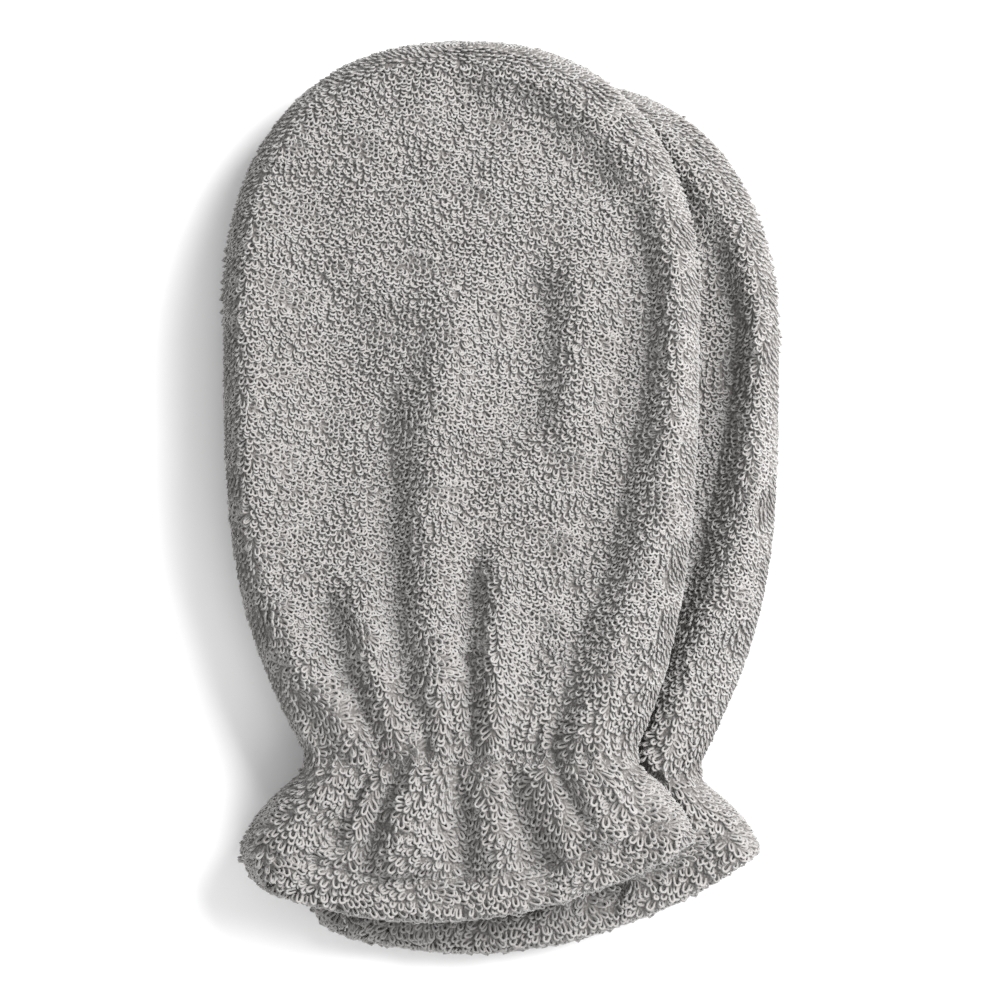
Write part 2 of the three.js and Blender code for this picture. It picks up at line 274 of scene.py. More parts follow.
# Crests and hollows of the palm, each a path in mm from the middle of the wrist line, with the
# width and the height of its rounded section. The first block is the body, the second the cuff.
FOLDS = [
    ([(40, 172), (49, 150), (51, 128), (48, 105), (44, 85), (40, 66), (34, 46), (27, 28), (20, 8)],
     6.5, -4.2),
    ([(52, 168), (60, 146), (62, 125), (60, 100), (57, 80), (53, 60), (47, 42), (41, 26), (34, 6)],
     5.5, 3.1),
    ([(-1, 146), (-3, 118), (-6, 92), (-8, 70), (-9, 48), (-10, 28), (-9, 5)], 7.5, 3.8),
    ([(-22, 118), (-22, 92), (-20, 72), (-19, 50), (-17, 28), (-15, 5)], 6.0, -2.6),
    ([(-50, 166), (-58, 138), (-60, 104), (-58, 72), (-53, 46)], 9.0, 3.6),
    ([(-32, 140), (-34, 104), (-33, 64)], 11.0, -3.0),
    ([(20, 150), (20, 115), (18, 86)], 9.0, -3.0),
    ([(33, 150), (33, 115), (30, 84)], 7.0, 2.3),
    ([(-8, 196), (20, 192), (40, 178), (53, 160)], 4.6, 2.0),
    ([(-12, 184), (14, 180), (33, 168), (44, 150)], 8.0, -2.4),
    ([(4, 68), (3, 45), (1, 30), (1, 15), (0, 4)], 3.6, -2.6),
    ([(12, 66), (11, 45), (9, 30), (8, 18), (6, 4)], 4.2, 3.0),
    ([(24, 44), (19, 28), (15, 14), (12, 4)], 3.2, -2.0),
    ([(30, 46), (24, 24), (18, 6)], 4.0, 1.7),
    ([(-56, 60), (-50, 38), (-44, 25), (-37, 13), (-31, 4)], 4.8, 2.9),
    ([(-40, 56), (-36, 32), (-31, 16), (-26, 4)], 4.4, -2.8),
    ([(-29, 58), (-26, 30), (-22, 15), (-19, 4)], 4.0, 2.6),
    ([(-12, 22), (-11, 12), (-11, 3)], 2.4, -1.3),
    ([(-5, 26), (-5, 14), (-5, 3)], 2.2, -1.6),
    ([(-50, 20), (-43, 12), (-38, 3)], 3.6, -1.9),
    ([(-30, -5), (-35, -14), (-41, -23)], 3.0, -2.2),
    ([(-25, -5), (-29, -14), (-33, -24)], 3.2, 2.1),
    ([(-22, -4), (-26, -16), (-29, -33)], 3.2, -3.2),
    ([(-15, -4), (-17, -18), (-18, -36)], 7.0, 3.4),
    ([(-3, -4), (-2, -18), (1, -36)], 3.4, -3.4),
    ([(5, -5), (7, -20), (12, -37)], 4.4, 2.5),
    ([(11, -5), (16, -18), (25, -37)], 3.8, -3.6),
    ([(20, -5), (25, -16), (32, -34)], 4.0, 2.2),
    ([(25, -3), (30, -13), (38, -20)], 2.6, -1.7),
    ([(31, -2), (37, -12), (41, -27)], 8.5, 4.4),
    ([(-37, -4), (-47, -16), (-55, -30)], 7.0, 2.6),
]
FOLD_RISE = 1.2       # all the folds' heights are scaled by this
FOLD_END = 0.22       # the share of its path over which a fold's end fades
AT_WRIST = 9          # a fold that ends this close to the wrist line runs into the elastic


def ease(share):
    """A smooth step: three times the square less twice the cube."""
    t = np.clip(share, 0, 1)
    return t * t * (3 - 2 * t)


def folds(x, y):
    """The sum of the folds: each is a bell curve across its path. An end at the wrist runs into
    the elastic, and any other end fades out."""
    total = np.zeros(x.shape)
    for points, width, height in FOLDS:
        gap, along = nearest_on_line(x, y, *smooth_path(points))
        fade = np.ones(x.shape)
        for share, end in ((along, points[0]), (1 - along, points[-1])):
            if abs(end[1]) > AT_WRIST:
                fade = fade * ease(share / FOLD_END)
        total += FOLD_RISE * height * fade * np.exp(-(gap / width) ** 2)
    return total


PLEAT_HEIGHT = 0.7
PLEAT_WAVES = ((1.0, 0.86, 0.7), (0.6, 1.37, 2.1))     # each with its share, rate and start
PLEATS_ABOVE, PLEATS_BELOW = 14.0, 18.0                # mm over which they fade from the wrist


def gathers(x, y):
    """Small pleats where the elastic draws the cloth in: two waves across that fade from the
    wrist."""
    spread = x * HALF_WRIST / np.maximum(half_width(y), HALF_WRIST / 2)
    fade = np.where(y > 0, np.exp(-y / PLEATS_ABOVE), np.exp(y / PLEATS_BELOW))
    wave = sum(share * np.cos(spread * rate + start) for share, rate, start in PLEAT_WAVES)
    return PLEAT_HEIGHT * fade * wave


def plane_waves(x, y, seed, shortest, longest, count):
    """Slow unevenness: a sum of plane waves with seeded directions and lengths, about -1 to 1."""
    rng = np.random.default_rng(seed)
    total = np.zeros(x.shape)
    for _ in range(count):
        angle, phase = rng.uniform(0, 2 * math.pi, 2)
        length = rng.uniform(shortest, longest)
        total += np.sin((x * math.cos(angle) + y * math.sin(angle)) * 2 * math.pi / length + phase)
    return total / math.sqrt(count)


CREASE_DEPTH, CREASE_WIDTH = 1.6, 2.0     # the hollow along the hem's stitching
BAND_DEPTH, BAND_WIDTH = 1.3, 2.8         # the hollow along the wrist elastic
HEM_THINNING = 2.6                        # how much lower the panel is at the hem's fold
RIDGE_HEIGHT, RIDGE_INSET, RIDGE_WIDTH = 1.1, 7.0, 4.2
UNEVEN, UNEVEN_SEEDS = 0.5, {"lower": 6, "upper": 5}
PALM_EASE, PALM_LEAST = 0.8, 1.9          # the palm under the full height, and its least height
COVER_START, COVER_RUN = 2, 8.0           # mm inside the upper mitt's edge where its weight tells
FREE_RELIEF, RELIEF_LOST, PRESSED = 1.35, 1.2, 0.9
UNDER_MARGIN = 5.0    # the lower palm is held down from this far outside the upper mitt's edge
PILES_BETWEEN = 2.4   # room for the two pressed piles where one mitt lies on the other


def quarter_round(share):
    """The height of a quarter ellipse: the root of 1 less the square of what is left."""
    return np.sqrt(1 - (1 - share) ** 2)


def panel_thickness(mitt, face, x, y, edge):
    """How far the ground lies from the seam plane away from the edge. The palm has the folds, and
    a rounded ridge just inside the edge where the allowances end. Under the upper mitt the lower
    palm is pressed, and stays below a quarter ellipse that follows the upper mitt's edge."""
    above_hem = y - hem_line(x)
    crease = -CREASE_DEPTH * np.exp(-((above_hem - HEM) / CREASE_WIDTH) ** 2)
    band = -BAND_DEPTH * np.exp(-(y / BAND_WIDTH) ** 2)
    hem_roll = -HEM_THINNING * (1 - quarter_round(np.clip(above_hem / HEM_ROUND, 0, 1)))
    full = HALF_THICK - PILE
    if face < 0:
        return full + crease + band + hem_roll
    ridge = RIDGE_HEIGHT * np.exp(-((edge - RIDGE_INSET) / RIDGE_WIDTH) ** 2)
    relief = folds(x, y) + gathers(x, y) + ridge
    relief += UNEVEN * plane_waves(x, y, UNEVEN_SEEDS[mitt], 14, 40, 10)
    if mitt == "lower":
        outside = outside_upper(x, y)
        covered = np.clip((-outside - COVER_START) / COVER_RUN, 0, 1)
        relief = relief * (FREE_RELIEF - RELIEF_LOST * covered) - PRESSED * covered
    holds = PALM_HOLDS * sunk(mitt, x, y)
    reach = np.maximum(full - PALM_EASE + relief + crease + band, PALM_LEAST) + holds + hem_roll
    if mitt == "lower":
        inside = np.clip((UNDER_MARGIN - outside) / ALLOWANCE, 0, 1)
        over = EDGE_REACH + (full - EDGE_REACH) * quarter_round(inside)
        reach = np.minimum(reach, LIFT - over - PILES_BETWEEN)
    return reach


def ground_reach(mitt, face, x, y):
    """The ground's distance from the seam plane: a quarter ellipse over the allowance, then flat."""
    edge = edge_distance(x, y)
    thick = panel_thickness(mitt, face, x, y, edge)
    return EDGE_REACH + (thick - EDGE_REACH) * quarter_round(np.clip(edge / ALLOWANCE, 0, 1))


def plan_to_pair(mitt, x, y, z):
    """From a mitt's own plan to the frame: the wrist is pushed aside and the cuff tilted a little."""
    facts = MITTS[mitt]
    pushed = x + WRIST_PUSH[mitt] * np.exp(-(y / PUSH_WIDTH) ** 2)
    pushed += CUFF_PUSH[mitt] * ease(-y / CUFF_RUN)
    tilted = y + CUFF_TILT[mitt] * x * np.clip((TILT_TOP - y) / TILT_RUN, 0, 1)
    return np.stack([pushed + facts["x"], tilted + facts["y"], z], axis=-1) * MM


def ground_point(mitt, face, x, y, over=0.0):
    """A point on the ground's outer face, or so many mm over it, in metres."""
    z = seam_height(mitt, x, y) + face * (ground_reach(mitt, face, x, y) + over)
    return plan_to_pair(mitt, x, y, z)


CUT_EDGE = 1.5        # mm over which the allowances' cut edges thin out
HEM_LAYER = 0.9       # the turned hem's second layer
SLACK = 0.4           # the inner face lies this much further in than the ground is thick


def inner_reach(x, y, outer):
    """The inner face: the allowances fill the edge, and further in one layer of cloth is left."""
    free = ease((edge_distance(x, y) - ALLOWANCE) / CUT_EDGE)
    doubled = HEM_LAYER * (y - hem_line(x) < HEM)
    layer = outer - GROUND - SLACK - doubled
    least = SEAM_GAP + (MOUTH_GAP - SEAM_GAP) * free
    return np.maximum(least + (layer - least) * free, least)


def panel_plan(cuff_rows=24, body_rows=76, fan_rows=18, edge_columns=8, columns=27, crowding=1.4):
    """Plan of a panel's grid. Cuff rows go over from the hem's arc to the straight wrist, body
    rows are straight, and the last rows are a fan about a point below the fingertips. Columns are
    close together over the edge: their insets from the seam follow 1 - cos. Rows are crowded
    towards the hem by a power of their share."""
    fan_y = WIDEST + (LENGTH - WIDEST) / 2
    share = np.linspace(0, 1, cuff_rows)[:, None] ** crowding
    limit = np.full((cuff_rows, 1), HALF_CUFF)
    for _ in range(12):
        limit = half_width(hem_line(limit) * (1 - share) - 2 * GROOVE * share)
    edge = ALLOWANCE * (1 - np.cos(np.linspace(0, math.pi / 2, edge_columns)))
    middle = np.linspace(0, 1, columns)[1:]

    def insets(whole):
        """Distances in from the seam: close together over the edge, then even to the middle."""
        edges = np.repeat(edge[None], len(whole), 0)
        return np.hstack([edges, ALLOWANCE + (whole - ALLOWANCE) * middle])

    cuff_x = limit - insets(limit)
    cuff_y = hem_line(cuff_x) * (1 - share) - 2 * GROOVE * share
    body_y = np.linspace(-2 * GROOVE, fan_y, body_rows)[1:, None]
    body_x = half_width(body_y) - insets(half_width(body_y))
    first = math.asin(0.5 ** (TIP_FULLNESS / 2))
    tip_x, tip_y = tip_curve(np.linspace(first, math.pi / 2, fan_rows + 1)[1:, None])
    tip_x[-1] = 0
    reach = np.hypot(tip_x, tip_y - fan_y)
    inward = insets(reach) / reach
    half_x = np.vstack([cuff_x, body_x, tip_x * (1 - inward)])
    half_y = np.vstack([cuff_y, body_y + 0 * body_x, tip_y + (fan_y - tip_y) * inward])
    return half_x, half_y


def link_piece(name, mesh, material):
    """A finished mesh becomes a piece of the object, smooth all over."""
    mesh.polygons.foreach_set("use_smooth", np.ones(len(mesh.polygons), bool))
    mesh.materials.append(material)
    piece = bpy.data.objects.new(name, mesh)
    bpy.context.collection.objects.link(piece)
    return piece


def mesh_outwards(name, points, faces, merged):
    """A mesh whose faces all point outwards, with its doubles merged first where it has any."""
    mesh = bpy.data.meshes.new(name)
    mesh.from_pydata(points.reshape(-1, 3), [], faces)
    work = bmesh.new()
    work.from_mesh(mesh)
    if merged:
        bmesh.ops.remove_doubles(work, verts=work.verts, dist=1e-6)
        bmesh.ops.dissolve_degenerate(work, edges=work.edges, dist=1e-7)
    bmesh.ops.recalc_face_normals(work, faces=work.faces)
    work.to_mesh(mesh)
    work.free()
    return mesh


def closed_shell(name, outer, inner, material, folded=False):
    """A shell between two grids of the same shape: the rows are rings round both of them. A strip
    closes the first ring, and the last one too unless it is folded onto itself."""
    rings = np.concatenate([outer, inner[:, ::-1]], axis=1)
    rows, count = rings.shape[:2]
    index = np.arange(rows * count).reshape(rows, count)
    nexts = np.roll(index, -1, axis=1)
    sides = np.stack([index[:-1], nexts[:-1], nexts[1:], index[1:]], -1).reshape(-1, 4)
    i = np.arange(count // 2 - 1)
    ends = np.stack([i, count - 1 - i, count - 2 - i, i + 1], -1)
    faces = [sides, ends] if folded else [sides, ends, ends[:, ::-1] + (rows - 1) * count]
    mesh = mesh_outwards(name, rings, np.vstack(faces).tolist(), True)
    return link_piece(name, mesh, material)


FACES = {"palm": 1, "back": -1}
SIDES = {"left": -1, "right": 1}


def move_palm_half(piece):
    """Half a palm piece keeps its place: its transform is baked into its mesh."""
    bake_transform(piece)


def fasten(piece, mitt, side):
    """A whole piece rides on the mitt's back, and a palm's half has its transform baked in."""
    if side == "whole":
        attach(piece, f"{mitt}_back")
    else:
        move_palm_half(piece)


def add_node(tree, kind, **values):
    """A node with some of its inputs set by name."""
    node = tree.nodes.new(kind)
    for key, value in values.items():
        node.inputs[key.replace("_", " ")].default_value = value
    return node


def maths(tree, operation, first, second):
    """A Math node fed by a socket, and by a second socket or a number."""
    node = tree.nodes.new("ShaderNodeMath")
    node.operation = operation
    tree.links.new(first, node.inputs[0])
    if isinstance(second, float):
        node.inputs[1].default_value = second
    else:
        tree.links.new(second, node.inputs[1])
    return node.outputs[0]


def fibre_group():
    """Cotton fibre, for every yarn and thread: a slow unevenness of the dye, and fine fuzz."""
    group = bpy.data.node_groups.new("cotton_fibre", "ShaderNodeTree")
    for name in ("Dye Scale", "Fuzz Scale"):
        group.interface.new_socket(name, in_out="INPUT", socket_type="NodeSocketFloat")
    for name in ("Dye", "Fuzz"):
        group.interface.new_socket(name, in_out="OUTPUT", socket_type="NodeSocketFloat")
    inside, outside = group.nodes.new("NodeGroupInput"), group.nodes.new("NodeGroupOutput")
    coords = group.nodes.new("ShaderNodeTexCoord")
    for name in ("Dye", "Fuzz"):
        noise = add_node(group, "ShaderNodeTexNoise", Detail=3.0)
        group.links.new(coords.outputs["Object"], noise.inputs["Vector"])
        group.links.new(inside.outputs[f"{name} Scale"], noise.inputs["Scale"])
        group.links.new(noise.outputs["Fac"], outside.inputs[name])
    return group


FIBRE = fibre_group()
FIBRE_ROUGHNESS, SHEEN_ROUGHNESS, SPECULAR = 0.9, 0.5, 0.2
DYE_SHARE, FUZZ_SHARE = 0.4, 0.5      # of the dye in the colour, and of the fuzz in the bump
RAMP_START, BUMP_STRENGTH = 0.2, 0.6


def fibre_material(name, dark, light, sheen, dye_scale, fuzz_scale, pattern, bump_mm):
    """A fibre's colour runs from dark to light with its pattern and the dye's unevenness. On the
    yarn and the ground that pattern is painted shade, darker deep in the pile. The pattern, made
    by the caller in the tree, and the fuzz stand out as bump."""
    material = bpy.data.materials.new(name)
    material.use_nodes = True
    tree = material.node_tree
    shader = tree.nodes["Principled BSDF"]
    shader.inputs["Roughness"].default_value = FIBRE_ROUGHNESS
    shader.inputs["Sheen Weight"].default_value = sheen
    shader.inputs["Sheen Roughness"].default_value = SHEEN_ROUGHNESS
    shader.inputs["Specular IOR Level"].default_value = SPECULAR
    fibre = tree.nodes.new("ShaderNodeGroup")
    fibre.node_tree = FIBRE
    fibre.inputs["Dye Scale"].default_value = dye_scale
    fibre.inputs["Fuzz Scale"].default_value = fuzz_scale
    value = pattern(tree)
    dye = maths(tree, "MULTIPLY", fibre.outputs["Dye"], DYE_SHARE)
    colour = tree.nodes.new("ShaderNodeValToRGB")
    colour.color_ramp.elements[0].position = RAMP_START
    colour.color_ramp.elements[0].color = (*dark, 1)
    colour.color_ramp.elements[1].color = (*light, 1)
    tree.links.new(maths(tree, "ADD", dye, value), colour.inputs["Fac"])
    tree.links.new(colour.outputs["Color"], shader.inputs["Base Color"])
    bump = add_node(tree, "ShaderNodeBump", Strength=BUMP_STRENGTH, Distance=bump_mm * MM)
    fuzz = maths(tree, "MULTIPLY", fibre.outputs["Fuzz"], FUZZ_SHARE)
    tree.links.new(maths(tree, "ADD", value, fuzz), bump.inputs["Height"])
    tree.links.new(bump.outputs["Normal"], shader.inputs["Normal"])
    return material


def loop_feet_gap_shade(tree):
    """The feet of the loops, close together: a cell pattern on Object coordinates, which is 0.7
    in the middle of a cell and falls by 1.1 times the distance from it. In the colour this is
    painted shade, darker in the gaps between the feet; in the bump it is their relief."""
    coords = tree.nodes.new("ShaderNodeTexCoord")
    cells = add_node(tree, "ShaderNodeTexVoronoi", Scale=1150.0, Randomness=0.9)
    tree.links.new(coords.outputs["Object"], cells.inputs["Vector"])
    return maths(tree, "ADD", maths(tree, "MULTIPLY", cells.outputs["Distance"], -1.1), 0.7)


# The ground is darker than the yarn: painted shade in the gaps between the loops.
GROUND_PAINTED_SHADE_MATERIAL = fibre_material("towelling_ground_painted_shade", dark=(0.13, 0.123, 0.118),
                                 light=(0.30, 0.290, 0.282), sheen=0.1, dye_scale=45.0,
                                 fuzz_scale=2500.0, pattern=loop_feet_gap_shade, bump_mm=0.7)
PLAN_X, PLAN_Y = panel_plan()


def cloth_half(mitt, face_name, side):
    """The outer and the inner grid of half a panel, from its side seam to the middle line."""
    face, x = FACES[face_name], PLAN_X * SIDES[side]
    outer = ground_reach(mitt, face, x, PLAN_Y)
    inner = inner_reach(x, PLAN_Y, outer)
    seam = seam_height(mitt, x, PLAN_Y)
    return [plan_to_pair(mitt, x, PLAN_Y, seam + face * reach) for reach in (outer, inner)]


cloth = {}
for mitt in MITTS:
    for side in SIDES:
        outer, inner = cloth_half(mitt, "palm", side)
        piece = closed_shell(f"{mitt}_palm_cloth_{side}", outer, inner, GROUND_PAINTED_SHADE_MATERIAL)
        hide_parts(f"{mitt}_palm_panel")
        fasten(piece, mitt, side)
        cloth[mitt, "palm", side] = piece
    halves = [cloth_half(mitt, "back", side) for side in SIDES]
    outer, inner = (np.hstack([left, right[:, -2::-1]]) for left, right in zip(*halves))
    piece = closed_shell(f"{mitt}_back_cloth", outer, inner, GROUND_PAINTED_SHADE_MATERIAL, True)
    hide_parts(f"{mitt}_back_panel")
    fasten(piece, mitt, "whole")
    cloth[mitt, "back", "whole"] = piece

# --- The pile ---------------------------------------------------------------------------------
# The outer faces of the towelling, and the inside of the cuffs, are covered with loops of soft
# cotton yarn about 2 mm long. The loops are drawn up in weaving, stand about 2 mm apart, and lie
# over towards the cuff in slow swirls.
PALM_LOOPS = {"spacing": 1.66, "rows": 1.04, "segments": 6, "sides": 3, "size": 1.0, "press": 1.0}
BACK_LOOPS = {"spacing": 2.3, "rows": 1.7, "segments": 4, "sides": 3, "size": 1.35, "press": 0.5}
LOOP_WIDTH = 1.72     # of a loop's arch, mm
LOOP_LENGTH = 1.7
LOOP_HEIGHT = 1.05
YARN_RADIUS = 0.39
LINING_SPACE = 1.75   # between the loops inside the cuff
LINING_TOP = -5.0     # they end below the elastic tape
LINING_CLEAR = 0.9    # how far the cuff's inside must lie from the seam plane to have loops
FLOOR_GAP = 0.15      # the pile is pressed flat where it would reach through the floor
LOOSE_REACH = 30.0    # mm over which the loops above the wrist turn from open to close
LOOSE_LENGTH, LOOSE_YARN = 0.42, 0.28    # open loops are longer and thicker by these shares
ROLL_ARC = 6.4        # mm of the edge's roll for each radian
LATTICE_END = 1.15    # the roll angle at which the edge's rows meet the face's
SWIRL, STRAY = 0.95, 0.36
JITTER = 0.15
PLAN_FOOT, LINING_FOOT = -48, -46     # the lattices start here, under the hem
OPEN_FROM, OPEN_STRAY = 0.55, 0.12    # over this looseness every other row is left out
FACE_SIDE, FACE_HEM = 2.0, 1.3        # the face's rows keep this far from the side and the hem
ROLL_START, ROLL_LEAST, ROLL_MOST, ROLL_STRAY = 0.06, 0.03, 1.3, 0.03     # of the roll angle
ROW_END = 0.6                         # the edge's rows keep this far from their ends and the hem
HEM_CROWDING, HEM_SIDE, HEM_BAND = 0.55, 0.8, (0.05, 0.5)
SEAM_TURN, HEM_TURN = 0.12, 0.4       # how far the normals keep their height there
HEM_CALM = 2.6                        # the loops turn round the hem's fold within this
WRIST_CALM, WRIST_WIDTH = 0.8, 2.2    # the elastic keeps the loops on it still
CALM_SWIRL, CALM_LIFT = 0.75, 0.45    # shares that a still loop loses of its swirl and height
COMB_ABOVE, COMB_BELOW, COMB_DROP = -1.1, 0.9, -0.35
COMB_REACH, COMB_HEM = 40.0, 8.0
SIZES, LIFTS, LENGTHS, WIDTHS = (0.84, 1.18), (0.7, 1.25), (0.75, 1.25), (0.8, 1.2)
FOOT_DEPTH = 0.35                     # a loop's feet are this far inside the ground
# A loop's colour value: a random tone for each loop, and painted shade from feet to crest.
SHADE_STRAY, FOOT_PAINTED_SHADE, CREST_PAINTED_LIGHT = 0.085, 0.26, 0.40
UV_MARGIN, UV_SHARE = 0.04, 0.92      # the part of its square that a loop fills


def looseness(y):
    """How open the pile is: 1 on the cuff and at the wrist, falling as a bell above it."""
    return np.exp(-(np.maximum(y, 0) / LOOSE_REACH) ** 2)


def face_lattice(spacing, rows, rng):
    """Columns of plan points over a panel's face, every other column shifted by half a row. Where
    the pile is open every other row is left out."""
    x = np.arange(-HALF_BODY, HALF_BODY, spacing)
    y = np.arange(PLAN_FOOT, LENGTH + 1, rows)
    grid_x, grid_y = np.meshgrid(x, y)
    grid_y = grid_y + (np.arange(len(x)) % 2) * rows / 2
    in_row = looseness(grid_y) + rng.normal(0, OPEN_STRAY, grid_y.shape) < OPEN_FROM
    in_row = in_row | (np.arange(len(y)) % 2 == 0)[:, None]
    grid_x = grid_x + rng.normal(0, JITTER * spacing, grid_x.shape)
    grid_y = grid_y + rng.normal(0, JITTER * spacing, grid_y.shape)
    x, y = grid_x[in_row], grid_y[in_row]
    kept = (np.abs(x) < half_width(y) - FACE_SIDE) & (y > hem_line(x) + FACE_HEM)
    x, y = x[kept], y[kept]
    clear = edge_distance(x, y) > ALLOWANCE * (1 - math.cos(LATTICE_END))
    return x[clear], y[clear]


SEAM_RUN = np.concatenate([[0], np.cumsum(np.hypot(np.diff(SEAM_X), np.diff(SEAM_Y)))])


def inside_seam(place, inset):
    """The plan point that lies inset mm in from the seam at a distance along it."""
    x, y = (np.interp(place, SEAM_RUN, line) for line in (SEAM_X, SEAM_Y))
    run_x, run_y = (np.interp(place + 1.0, SEAM_RUN, line) - np.interp(place - 1.0, SEAM_RUN, line)
                    for line in (SEAM_X, SEAM_Y))
    size = np.hypot(run_x, run_y)
    return x - run_y / size * inset, y + run_x / size * inset


def edge_lattice(spacing, rows, rng):
    """Rows of plan points along the seam: their insets follow 1 - cos of the roll angle."""
    angles = np.arange(ROLL_START, LATTICE_END, rows / ROLL_ARC)
    place, angle = np.meshgrid(np.arange(ROW_END, SEAM_RUN[-1] - ROW_END, spacing), angles)
    place = place + (np.arange(len(angles)) % 2)[:, None] * spacing / 2
    place = place + rng.normal(0, JITTER * spacing, place.shape)
    angle = np.clip(angle + rng.normal(0, ROLL_STRAY, angle.shape), ROLL_LEAST, ROLL_MOST)
    x, y = inside_seam(place, ALLOWANCE * (1 - np.cos(angle)))
    kept = y > hem_line(x) + ROW_END
    return x[kept], y[kept]


def hem_row(spacing, rng):
    """One row of plan points close along the hem's fold."""
    x = np.arange(-HALF_CUFF, HALF_CUFF, HEM_CROWDING * spacing)
    x = x + rng.normal(0, JITTER * spacing / 2, x.shape)
    y = hem_line(x) + rng.uniform(*HEM_BAND, x.shape)
    kept = np.abs(x) < half_width(y) - HEM_SIDE
    return x[kept], y[kept]


def ground_normal(mitt, face, x, y):
    """Outward normal of the ground, from its slope a third of a millimetre to each side."""
    h = 0.35
    across = ground_point(mitt, face, x + h, y) - ground_point(mitt, face, x - h, y)
    along = ground_point(mitt, face, x, y + h) - ground_point(mitt, face, x, y - h)
    return unit(np.cross(across, along) * face)


def unit(vectors):
    """Each vector over its own length."""
    return vectors / np.maximum(np.linalg.norm(vectors, axis=-1, keepdims=True), 1e-12)


def outward_in_plan(x, y):
    """Unit plan direction from the panel's middle towards its nearest seam."""
    h = 0.3
    slope_x = edge_distance(x + h, y) - edge_distance(x - h, y)
    slope_y = edge_distance(x, y + h) - edge_distance(x, y - h)
    return unit(np.stack([-slope_x, -slope_y, np.zeros(len(x))], -1))


def combed(x, y, normal, face, swirl):
    """The lie of each loop: down to the cuff and over the edge, along the surface, then turned
    about the normal by its swirl. It follows the pleats, inwards above the wrist and outwards
    below it."""
    fan = np.where(y > 0, COMB_ABOVE * np.exp(-np.abs(y) / COMB_REACH), COMB_BELOW) * x / HALF_WRIST
    fan = fan * ease((y - hem_line(x)) / COMB_HEM)
    down = np.stack([fan, np.full(len(x), -1.0), np.full(len(x), COMB_DROP * face)], -1)
    lie = unit(down - np.sum(normal * down, -1, keepdims=True) * normal)
    return lie * np.cos(swirl)[:, None] + np.cross(normal, lie) * np.sin(swirl)[:, None]


def pile_places(mitt, face, spacing, rows, seed):
    """Foot, normal, lie, looseness, height share and plan place of every loop on a panel's outer
    face. At the seam the normal turns outwards in plan, and round the hem's fold it turns down."""
    rng = np.random.default_rng(seed)
    face_x, face_y = face_lattice(spacing, rows, rng)
    edge_x, edge_y = edge_lattice(spacing, rows, rng)
    hem_x, hem_y = hem_row(spacing, rng)
    x, y = np.concatenate([face_x, edge_x, hem_x]), np.concatenate([face_y, edge_y, hem_y])
    normal = ground_normal(mitt, face, x, y)
    at_seam = (1 - np.clip(edge_distance(x, y) / ALLOWANCE, 0, 1))[:, None] ** 2
    normal = normal * (1 - at_seam) + (outward_in_plan(x, y) + [0, 0, SEAM_TURN * face]) * at_seam
    at_hem = np.clip(1 - (y - hem_line(x)) / HEM_CALM, 0, 1)[:, None]
    normal = unit(normal * (1 - at_hem) + np.array([0, -1.0, HEM_TURN * face]) * at_hem)
    swirl = SWIRL * plane_waves(x, y, seed + 1, 7, 26, 12) + rng.normal(0, STRAY, len(x))
    calm = np.maximum(at_seam[:, 0], at_hem[:, 0])
    calm = np.maximum(calm, WRIST_CALM * np.exp(-(y / WRIST_WIDTH) ** 2))
    lie = combed(x, y, normal, face, swirl * (1 - CALM_SWIRL * calm))
    loose = looseness(y) * (1 - calm)
    return ground_point(mitt, face, x, y), normal, lie, loose, 1 - CALM_LIFT * calm, x, y


def lining_places(mitt, face, seed):
    """The loops inside the cuff, where the palm and the back are clear of each other. Their
    normals point to the seam plane and they lie towards the cuff's edge."""
    rng = np.random.default_rng(seed)
    x, y = np.meshgrid(np.arange(-HALF_CUFF, HALF_CUFF, LINING_SPACE),
                       np.arange(LINING_FOOT, LINING_TOP, LINING_SPACE))
    x = (x + rng.normal(0, JITTER * LINING_SPACE, x.shape)).ravel()
    y = (y + rng.normal(0, JITTER * LINING_SPACE, y.shape)).ravel()
    reach = inner_reach(x, y, ground_reach(mitt, face, x, y))
    kept = (reach > LINING_CLEAR) & (y > hem_line(x) + 1) & (np.abs(x) < half_width(y) - ALLOWANCE)
    x, y, reach = x[kept], y[kept], reach[kept]
    foot = plan_to_pair(mitt, x, y, seam_height(mitt, x, y) + face * reach)
    normal = np.zeros((len(x), 3)) + [0, 0, -face]
    lie = combed(x, y, normal, -face, rng.normal(0, STRAY, len(x)))
    return foot, normal, lie, 0 * x, 1 + 0 * x, x


